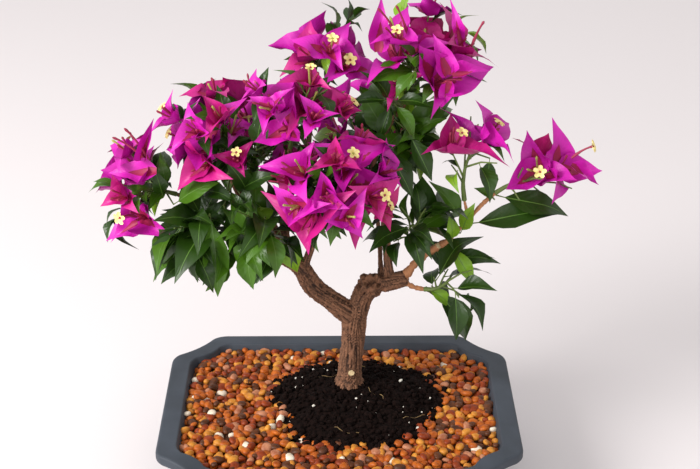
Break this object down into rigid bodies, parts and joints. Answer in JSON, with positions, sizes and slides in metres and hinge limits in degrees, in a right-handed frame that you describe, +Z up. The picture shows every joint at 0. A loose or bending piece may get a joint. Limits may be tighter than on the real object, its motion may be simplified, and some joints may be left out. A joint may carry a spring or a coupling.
{
  "type": "bougainvillea bonsai in tray",
  "caption": "Small flowering bonsai with a forked trunk, spreading boughs and masses of pink bracts and leaves, growing from a soil mound in a shallow cut-corner gravel tray.",
  "frame": {"origin": "centre of the tray's flat underside", "axes": "+Z up, -Y towards the front of the tray, +X to the right"},
  "size_m": [0.3818, 0.2438, 0.4032],
  "materials": {
    "tray": "matte",
    "growing_mix": "rough",
    "gravel": "rough",
    "bark": "rough",
    "young_bark": "satin",
    "leaves": "satin",
    "blossom": "matte"
  },
  "bodies": {
    "root": {"tray": "tray", "growing_mix": "growing_mix", "gravel": "gravel", "trunk": "bark", "bough_right": "bark", "bough_left": "bark", "bough_left_low": "bark", "bough_left_tip": "bark", "bough_left_upper": "bark", "bough_left_inner": "bark", "bough_centre": "bark", "bough_centre_low": "bark", "bough_top_left": "bark", "bough_back_left": "bark", "stem_upright": "bark", "stem_top": "bark", "bough_back_right": "bark", "shoot_right": "young_bark", "shoot_right_tip": "young_bark", "shoot_right_stalk": "young_bark", "shoot_right_inner": "young_bark", "shoot_right_low": "young_bark", "foliage_left_tip": "blossom", "foliage_left_low": "leaves", "foliage_left_inner": "leaves", "foliage_left_upper": "blossom", "foliage_centre_left": "blossom", "foliage_centre_low": "blossom", "foliage_top_left": "blossom", "foliage_top": "blossom", "foliage_centre": "leaves", "foliage_right_stalk": "blossom", "foliage_right_tip": "blossom", "foliage_right_inner": "leaves", "foliage_right_low": "leaves", "foliage_back_left": "blossom", "foliage_back_right": "blossom"}
  },
  "joints": []
}
